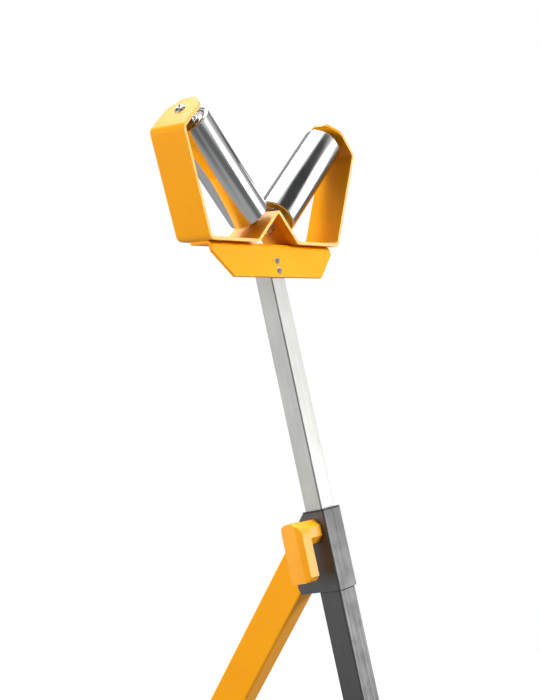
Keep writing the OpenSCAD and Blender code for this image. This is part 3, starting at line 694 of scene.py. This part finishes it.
def hex_rings(flats, low, high):
    """Rings of a hexagonal prism from low to high, its corners chamfered at both ends."""
    face = CHAMFER_SHARE * flats / 2
    rise = (flats / 2 / cos(pi / 6) - face) * tan(pi / 6)
    turn = 1 if high > low else -1
    steps = [(rise * share, hexagon(flats, face + rise * share / tan(pi / 6))) for share in CHAMFER_STEPS]
    rings = [ring(reach, low + turn * step) for step, reach in steps]
    rings += [ring(reach, high - turn * step) for step, reach in reversed(steps)]
    return rings


def shank_rings(radius, tip, seat, pitch, threaded):
    """Rings of a screw's shank, from its chamfered tip to its head's seat."""
    turn = 1 if seat > tip else -1
    core = radius - THREAD_DEPTH_SHARE * pitch
    chamfer = turn * THREAD_DEPTH_SHARE * pitch
    end = tip + turn * threaded
    start = tip + chamfer
    rings = [[Vector((0, 0, tip))], ring(circle(core), tip)]
    cut = thread(radius, pitch, min(start, end), max(start, end))
    rings += cut if turn > 0 else reversed(cut)
    rings.append(ring(circle(radius), seat))
    return rings


def socket_screw(radius, head, tip, seat, top, pitch, threaded):
    """Screw with a low domed head and a hexagon socket, its tip below its seat."""
    side = HEAD_SIDE_SHARE * (top - seat)
    flats = SOCKET_SHARE * 2 * radius
    rim = flats / 2 / cos(pi / 6) + SOCKET_RIM
    rise = top - seat
    middle = (rim ** 2 - head ** 2 + rise ** 2 - side ** 2) / (2 * (rise - side))
    ball = sqrt(head ** 2 + (side - middle) ** 2)
    rings = shank_rings(radius, tip, seat, pitch, threaded)
    rings.append(ring(circle(head), seat))
    for k in range(DOME_STEPS + 1):
        reach = head + (rim - head) * k / DOME_STEPS
        rings.append(ring(circle(reach), seat + middle + sqrt(ball ** 2 - reach ** 2)))
    lip = rings[-1][0].z
    floor_z = lip - SOCKET_DEPTH_SHARE * rise
    rings.append(ring(hexagon(flats + SOCKET_RIM), lip - SOCKET_RIM / 2))
    rings.append(ring(hexagon(flats), lip - SOCKET_RIM))
    rings.append(ring(hexagon(flats), floor_z))
    rings.append([Vector((0, 0, floor_z - SOCKET_RIM))])
    return skin(rings)


def hex_screw(radius, flats, tip, seat, top, pitch, threaded):
    """Screw with a chamfered hexagon head."""
    rings = shank_rings(radius, tip, seat, pitch, threaded)
    rings += hex_rings(flats, seat, top)
    rings.append([Vector((0, 0, top))])
    return skin(rings)


def nut(bore, flats, low, high):
    """Plain hexagon nut."""
    chamfer = NUT_CHAMFER * (1 if high > low else -1)
    rings = hex_rings(flats, low, high)
    rings += [ring(circle(bore + NUT_CHAMFER), high), ring(circle(bore), high - chamfer)]
    rings += [ring(circle(bore), low + chamfer), ring(circle(bore + NUT_CHAMFER), low)]
    return skin(rings, closed=True)


def lock_nut(bore, flats, low, high):
    """Nut whose collar holds a locking ring; the collar is at its high end."""
    shoulder = low + (high - low) * (1 - COLLAR_SHARE)
    collar = COLLAR_REACH_SHARE * flats / 2
    turn = 1 if high > low else -1
    rings = hex_rings(flats, low, shoulder)
    steps = [pi / 2 * k / DOME_STEPS for k in range(DOME_STEPS + 1)]
    drop = turn * COLLAR_ROUND
    rings.append(ring(circle(collar), shoulder))
    for angle in steps:
        reach = collar - COLLAR_ROUND * (1 - cos(angle))
        rings.append(ring(circle(reach), high - drop + drop * sin(angle)))
    rings.append(ring(circle(bore + NUT_CHAMFER), high))
    rings.append(ring(circle(bore), high - drop))
    rings += [ring(circle(bore), low + turn * NUT_CHAMFER), ring(circle(bore + NUT_CHAMFER), low)]
    return skin(rings, closed=True)


def bead(start, end, radius):
    """Weld bead along a line: overlapping ripples, rounded at both ends."""
    start, end = Vector(start), Vector(end)
    run = end - start
    length = run.length
    place = place_at(start, run, (0, 0, 1) if abs(run.normalized().z) < UPRIGHT else (0, 1, 0))
    steps = round(length / radius * BEAD_STEPS)
    rings = [[place @ Vector((0, 0, 0))]]
    for k in range(1, steps):
        along = length * k / steps
        tip = min(1, along / radius, (length - along) / radius)
        ripple = abs(sin(pi * along / (BEAD_RIPPLE_SHARE * radius)))
        reach = radius * sqrt(1 - (1 - tip) ** 2) * (BEAD_WAIST + (1 - BEAD_WAIST) * ripple)
        rings.append([place @ p for p in ring(circle(reach), along, BEAD_SIDES)])
    rings.append([place @ Vector((0, 0, length))])
    return skin(rings)


def piece(name, body, slot, solids, place=Matrix(), replaced=(), material=None):
    """Makes an object from solids in a place's axes, rides it on a body and gives it a finish."""
    points, faces = [], []
    for some_points, some_faces in solids:
        faces += [tuple(k + len(points) for k in face) for face in some_faces]
        points += [place @ p for p in some_points]
    mesh = bpy.data.meshes.new(name)
    mesh.from_pydata(points, [], faces)
    work = bmesh.new()
    work.from_mesh(mesh)
    bmesh.ops.recalc_face_normals(work, faces=work.faces)
    work.to_mesh(mesh)
    work.free()
    mesh.shade_smooth()
    mesh.set_sharp_from_angle(angle=radians(SHARP_ANGLE))
    mesh.materials.append(material or MATERIALS[slot])
    made = bpy.data.objects.new(name, mesh)
    bpy.context.scene.collection.objects.link(made)
    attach(made, body)
    if replaced:
        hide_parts(*replaced)


def slot_of(node):
    found = [part["material_slot"] for part in frame["record"]["subparts"] if part["node"] == node]
    return found[0]


def dress(node, edge):
    """Gives a CAD node its material and rounds its sharp edges."""
    part = nodes[node]
    part.data.materials.clear()
    part.data.materials.append(MATERIALS[FINISH.get(node, slot_of(node))])
    if edge:
        weld = part.modifiers.new("weld", "WELD")
        weld.merge_threshold = MERGE_DISTANCE
        flat = part.modifiers.new("flat", "DECIMATE")
        flat.decimate_type = "DISSOLVE"
        flat.angle_limit = radians(FLAT_ANGLE)
        bevel = part.modifiers.new("edges", "BEVEL")
        bevel.width = edge
        bevel.segments = EDGE_STEPS
        bevel.limit_method = "ANGLE"
        bevel.angle_limit = radians(EDGE_ANGLE)
        normals = part.modifiers.new("normals", "WEIGHTED_NORMAL")
        normals.weight = FLAT_WEIGHT


# The pieces


def rings_of(name, body, node, place, edge, count=1):
    """Turned washers, spacers or discs with softened edges, in place of a CAD node's."""
    solids = []
    for points in apart(corners(node, place), count):
        bore, reach, low, high = measure(points)
        if reach - bore > edge:
            profile = [(bore, low), (reach, low), (reach, high), (bore, high)]
            solids.append(lathe(rounded(profile, edge, EDGE_STEPS)))
        else:
            profile = [(reach, low), (reach, high), (-reach, high), (-reach, low)]
            half = [p for p in rounded(profile, edge, EDGE_STEPS) if p.x > 0]
            solids.append(lathe([(0, low)] + [tuple(p) for p in half] + [(0, high)], closed=False))
    piece(name, body, slot_of(node), solids, place, [node])


def roller(side):
    """Chrome tube with turned ends, its pressed end caps and its ball bearings."""
    place = axle_place(side)
    body = side + "_roller"
    tube, caps, bearings = (body + "_" + part for part in ("tube", "caps", "bearings"))
    bore, reach, low, high = measure(corners(tube, place))
    profile = rounded([(bore, low), (reach, low), (reach, high), (bore, high)],
                      [BORE_EDGE, TUBE_EDGE, TUBE_EDGE, BORE_EDGE], TUBE_EDGE_STEPS)
    piece(side + "_chrome_tube", body, "chrome_tube", [lathe(profile, TUBE_SIDES)], place, [tube],
          MATERIALS["chrome_tube_" + side])
    hub = measure(corners(bearings, place))[1]
    pressed, races = [], []
    for points, inward in zip(apart(corners(caps, place)), (1, -1)):
        _, rim, start, end = measure(points)
        face = start if inward > 0 else end
        line = cap_outline(rim, hub, end - start)
        pressed.append(lathe([(r, face + inward * z) for r, z in line], CAP_SIDES))
    for points in apart(corners(bearings, place)):
        races += bearing(*measure(points))
    piece(side + "_end_caps", body, "zinc_fasteners", pressed, place, [caps], MATERIALS["cap_steel"])
    piece(side + "_ball_bearings", body, "bearing_steel", races, place, [bearings])


def cap_outline(rim, hub, depth):
    """Half section of a pressed cap: rim in the tube, dished web, lip round the bearing."""
    outer, inner = rim - CAP_RIM, hub + CAP_LIP
    back = CAP_DISH + CAP_SHEET
    points = [(rim, depth), (rim, 0), (outer, 0), (outer - CAP_SLOPE, CAP_DISH),
              (inner + CAP_SLOPE, CAP_DISH), (inner, 0), (hub, 0), (hub, depth), (hub + CAP_SHEET, depth),
              (hub + CAP_SHEET, back), (rim - CAP_SHEET, back), (rim - CAP_SHEET, depth)]
    radii = [CAP_EDGE] * len(points)
    radii[1] = CAP_BEND
    return rounded(points, radii, BEND_STEPS)


def bearing(bore, reach, low, high):
    """Outer race with its shields, and the inner race."""
    race, dish = BEARING_RACE, BEARING_DISH
    seal, shield = bore + race + BEARING_GAP, reach - race - dish / 2
    outer = rounded([(reach, low), (reach, high), (reach - race, high)], BEARING_EDGE, EDGE_STEPS)
    outer += [Vector(p) for p in ((shield, high - dish), (seal, high - dish), (seal, low + dish),
                                  (shield, low + dish), (reach - race, low))]
    profile = [(bore, low), (bore + race, low), (bore + race, high), (bore, high)]
    return [lathe(outer), lathe(rounded(profile, BEARING_EDGE, EDGE_STEPS))]


def axle(side):
    """Domed screw through the flange, lock nut and washer inside the hump, and two spacers."""
    place = axle_place(side)
    bolt = side + "_axle_bolt"
    points = corners(bolt, place)
    _, head, tip, top = measure(points)
    seat = min(p.z for p in points if away(p) > HEAD_REACH_SHARE * head)
    radius = max(away(p) for p in points if p.z < seat - MM)
    washer_top = measure(corners(side + "_axle_washer", place))[3]
    piece(side + "_axle_screw", "head", "zinc_fasteners",
          [socket_screw(radius, head, tip, seat, top, AXLE_PITCH, washer_top - tip)], place, [bolt])
    nut_node = side + "_axle_nut"
    bore, corner, low, high = measure(corners(nut_node, place))
    piece(side + "_lock_nut", "head", "zinc_fasteners",
          [lock_nut(bore, corner * 2 * cos(pi / 6), high, low)], place, [nut_node])
    rings_of(side + "_nut_washer", "head", side + "_axle_washer", place, NUT_WASHER_EDGE)
    rings_of(side + "_spacer_tubes", "head", side + "_axle_spacers", place, SPACER_EDGE, 2)


def saddle_screws():
    """Two domed screws through the saddle and the mast, with their nuts behind it."""
    mast = mast_place()
    forward = -mast.col[1].to_3d()
    screws, nuts = [], []
    for points in apart(corners("saddle_bolts", mast)):
        down = (min(p.z for p in points) + max(p.z for p in points)) / 2
        place = place_at(mast @ Vector((0, 0, down)), forward, (0, 0, 1))
        local = [place.inverted() @ (mast @ p) for p in points]
        _, head, tip, top = measure(local)
        seat = min(p.z for p in local if away(p) > HEAD_REACH_SHARE * head)
        radius = max(away(p) for p in local if p.z < seat - MM)
        nut_low, nut_high = measure(corners("saddle_nuts", place))[2:]
        screw = socket_screw(radius, head, tip, seat, top, SADDLE_PITCH, nut_high - tip + MM)
        behind = nut(radius, NUT_FLATS_SHARE * 2 * radius, nut_low, nut_high)
        for made, (some_points, faces) in ((screws, screw), (nuts, behind)):
            made.append(([place @ p for p in some_points], faces))
    piece("saddle_screws", "head", "zinc_fasteners", screws, replaced=["saddle_bolts"],
          material=MATERIALS["dull_zinc"])
    piece("saddle_screw_nuts", "head", "zinc_fasteners", nuts, replaced=["saddle_nuts"])


def pivot():
    """Hexagon screw of the rear leg with its nut, washers and spacer tube."""
    place = cross_place("leg_fold")
    points = corners("pivot_bolt", place)
    _, corner, low, high = measure(points)
    seat = max(p.z for p in points if away(p) > HEAD_REACH_SHARE * corner)
    radius = max(away(p) for p in points if p.z > seat + MM)
    bore, nut_corner, nut_low, nut_high = measure(corners("pivot_nut", place))
    solid = hex_screw(radius, corner * 2 * cos(pi / 6), high, seat, low, AXLE_PITCH, high - nut_low + MM)
    piece("pivot_screw", "main_frame", "zinc_fasteners", [solid], place, ["pivot_bolt"])
    piece("pivot_lock_nut", "main_frame", "zinc_fasteners",
          [lock_nut(bore, nut_corner * 2 * cos(pi / 6), nut_low, nut_high)], place, ["pivot_nut"])
    rings_of("pivot_spacer_washers", "main_frame", "pivot_washers", place, PIVOT_EDGE, 2)
    rings_of("pivot_spacer_tube", "rear_frame", "pivot_bush", place, PIVOT_EDGE)


def clamp():
    """Threaded clamp screw, its boss on the collar and the brass disc at its end."""
    place = cross_place("lever_turn")
    _, radius, low, high = measure(corners("clamp_screw", place))
    high -= DISC_GAP
    middle = low + (high - low) * CLAMP_PLAIN_SHARE
    rings = shank_rings(radius, high, middle, CLAMP_PITCH, high - middle - MM)
    rings += [ring(circle(radius), low + NUT_CHAMFER), ring(circle(radius - NUT_CHAMFER), low)]
    rings.append([Vector((0, 0, low))])
    piece("clamp_threaded_rod", "lever", "zinc_fasteners", [skin(rings)], place, ["clamp_screw"])
    rings_of("clamp_boss", "main_frame", "clamp_nut", place, BOSS_EDGE)
    rings_of("clamp_pressure_disc", "pressure_pad", "clamp_pad", place, DISC_EDGE)


def foot(node, bar, lean, name, body):
    """Rubber boot on a crossbar's end, with grooves around it and a flat sole."""
    low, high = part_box(node)
    side = 1 if high[0] > 0 else -1
    lip, end = sorted((low[0], high[0]), key=abs)
    middle = centre(bar)

    def turn_of(point):
        return atan2(point.y - middle.z, point.x - middle.y)

    outline = []
    for vertex in nodes[node].data.vertices:
        point = Vector(vertex.co.yz)
        if abs(vertex.co.x - end) < FOOT_SAME and all((point - p).length > FOOT_SAME for p in outline):
            outline.append(point)
    outline.sort(key=turn_of)
    half = BAR_HALF + FOOT_SLACK
    socket = []
    for y, z in ((-half, -half), (half, -half), (half, half), (-half, half)):
        back, up = y * cos(lean) - z * sin(lean), y * sin(lean) + z * cos(lean)
        socket.append(Vector((middle.y + back, middle.z + up)))
    socket.sort(key=turn_of)

    def section(x, line, radius):
        return [Vector((x, p.x, p.y)) for p in rounded(line, radius, FOOT_CORNER_STEPS)]

    def outer(x, depth):
        return section(x, inset(outline, depth), FOOT_ROUND)

    bar_end = side * abs(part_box(bar)[1][0])
    rings = [[Vector((bar_end, middle.y, middle.z))]]
    rings += [section(x, socket, BAR_ROUND) for x in (bar_end, lip)]
    rings += [outer(lip + side * along * MM, depth * MM) for along, depth in LIP_RINGS]
    run = abs(end - lip)
    for k in range(FOOT_GROOVES):
        at = lip + side * run * (GROOVES_FROM + GROOVES_SPAN * k / (FOOT_GROOVES - 1))
        for shift, depth in GROOVE_RINGS:
            rings.append(outer(at + side * shift * GROOVE_WIDTH / 2, depth * GROOVE_DEPTH))
    rings += [outer(end - side * along * MM, depth * MM) for along, depth in SOLE_RINGS]
    rings.append([Vector((rings[-1][0].x, middle.y, middle.z))])
    piece(name, body, "rubber", [skin(rings)], replaced=[node])


def leg_welds(name, body, slot, leg, bar, place):
    """Beads where a leg stands on its crossbar: two fillets along its sides and two flush ones across it."""
    legs, bars = corners(leg, place), corners(bar, place)
    foot_z = min(p.z for p in legs)
    half_x = max(p.x for p in legs)
    leg_y = [p.y for p in legs if p.z < foot_z + MM]
    bar_y = [p.y for p in bars]
    low, high = max(min(leg_y), min(bar_y)), min(max(leg_y), max(bar_y))
    solids = []
    for x in (-half_x, half_x):
        solids.append(bead((x, low + BEAD_INSET, foot_z), (x, high - BEAD_INSET, foot_z), BEAD))
    across = half_x - BEAD_INSET
    for y in (low, high):
        solids.append(bead((-across, y, foot_z), (across, y, foot_z), FLUSH_BEAD))
    piece(name, body, slot, solids, place)


def collar_welds():
    """Fillet beads where the collar's sheet ends on the main leg's front and sides."""
    place = mast_place()
    collar, leg = corners("collar_housing", place), corners("main_leg", place)
    half, front, back = max(p.x for p in leg), min(p.y for p in leg), max(p.y for p in leg)
    foot_z = min(p.z for p in collar if p.y < front)
    run = half - COLLAR_WELD
    solids = [bead((-run, front, foot_z), (run, front, foot_z), COLLAR_WELD)]
    for side in (-1, 1):
        start = (side * half, front + COLLAR_WELD, foot_z)
        end = (side * half, back - COLLAR_WELD, foot_z)
        solids.append(bead(start, end, COLLAR_WELD))
    piece("collar_welds", "main_frame", "black_paint", solids, place)


def saddle_welds():
    """Stitch welds under the cradle, along the back edge of the saddle."""
    half, back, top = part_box("saddle_plate")[1]
    z = top - STITCH_DROP
    solids = []
    for share in SADDLE_STITCHES:
        middle = share * half
        solids.append(bead((middle - STITCH / 2, back, z), (middle + STITCH / 2, back, z), BEAD))
    piece("saddle_welds", "head", "yellow_paint", solids)


camera()
studio_world()
for light in LIGHTS:
    soft_light(*light)
floor_disc()
for name in nodes:
    dress(name, EDGES.get(name, 0) * MM)
for side in SIDES:
    roller(side)
    axle(side)
    foot("front_" + side + "_foot", "front_crossbar", -MAST_LEAN, "front_" + side + "_boot", "main_frame")
    foot("rear_" + side + "_foot", "rear_crossbar", REAR_LEAN, "rear_" + side + "_boot", "rear_frame")
saddle_screws()
saddle_welds()
collar_welds()
pivot()
clamp()
leg_welds("main_leg_welds", "main_frame", "black_paint", "main_leg", "front_crossbar", mast_place())
leg_welds("rear_leg_welds", "rear_frame", "yellow_paint", "rear_leg", "rear_crossbar", rear_place())

bpy.context.scene.view_settings.view_transform = "Standard"
